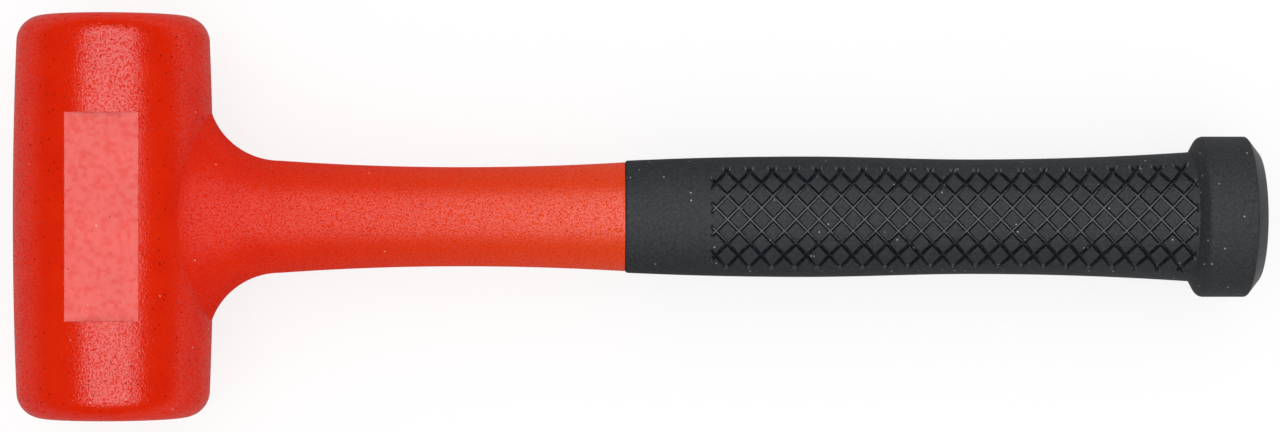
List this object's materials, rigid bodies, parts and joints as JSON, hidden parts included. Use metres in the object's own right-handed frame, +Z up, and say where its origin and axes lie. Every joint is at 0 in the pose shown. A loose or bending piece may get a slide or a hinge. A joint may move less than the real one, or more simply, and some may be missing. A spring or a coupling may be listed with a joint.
{
  "type": "dead blow hammer",
  "caption": "Dead blow hammer: a red urethane head and flared neck cast over a steel canister of loose shot, with a black rubber grip that ends in a round butt knob.",
  "frame": {"origin": "on the plane that the hammer lies on, under the middle of its bounding box", "axes": "+X along the handle from the head to the butt, +Y along the head from one striking face to the other, +Z up out of the label panel. The handle's axis drops 0.95 degrees towards the butt, because the hammer lies on its head and on the rim of its knob."},
  "size_m": [0.3184, 0.1024, 0.0505],
  "materials": {
    "urethane": "cast urethane with a fine pebbled grain and a satin gloss",
    "grip_rubber": "moulded black rubber, matte to satin, with cut diamond grooves",
    "steel": "plain drawn steel",
    "shot_steel": "dark tumbled steel"
  },
  "bodies": {
    "hammer": {"head_casting": "urethane", "grip_sleeve": "grip_rubber", "canister_tube": "steel", "canister_cap_left": "steel", "canister_cap_right": "steel", "handle_rod": "steel"},
    "shot": {"shot_01": "shot_steel", "shot_02": "shot_steel", "shot_03": "shot_steel", "shot_04": "shot_steel", "shot_05": "shot_steel", "shot_06": "shot_steel", "shot_07": "shot_steel", "shot_08": "shot_steel", "shot_09": "shot_steel", "shot_10": "shot_steel", "shot_11": "shot_steel", "shot_12": "shot_steel", "shot_13": "shot_steel", "shot_14": "shot_steel", "shot_15": "shot_steel", "shot_16": "shot_steel", "shot_17": "shot_steel", "shot_18": "shot_steel", "shot_19": "shot_steel", "shot_20": "shot_steel", "shot_21": "shot_steel", "shot_22": "shot_steel", "shot_23": "shot_steel", "shot_24": "shot_steel", "shot_25": "shot_steel", "shot_26": "shot_steel", "shot_27": "shot_steel", "shot_28": "shot_steel", "shot_29": "shot_steel", "shot_30": "shot_steel", "shot_31": "shot_steel", "shot_32": "shot_steel", "shot_33": "shot_steel", "shot_34": "shot_steel", "shot_35": "shot_steel"}
  },
  "joints": [
    {"name": "shot_slide", "type": "slide", "parent": "hammer", "child": "shot", "axis": [0, 1, 0], "range_m": [-0.0074, 0.0074]}
  ]
}
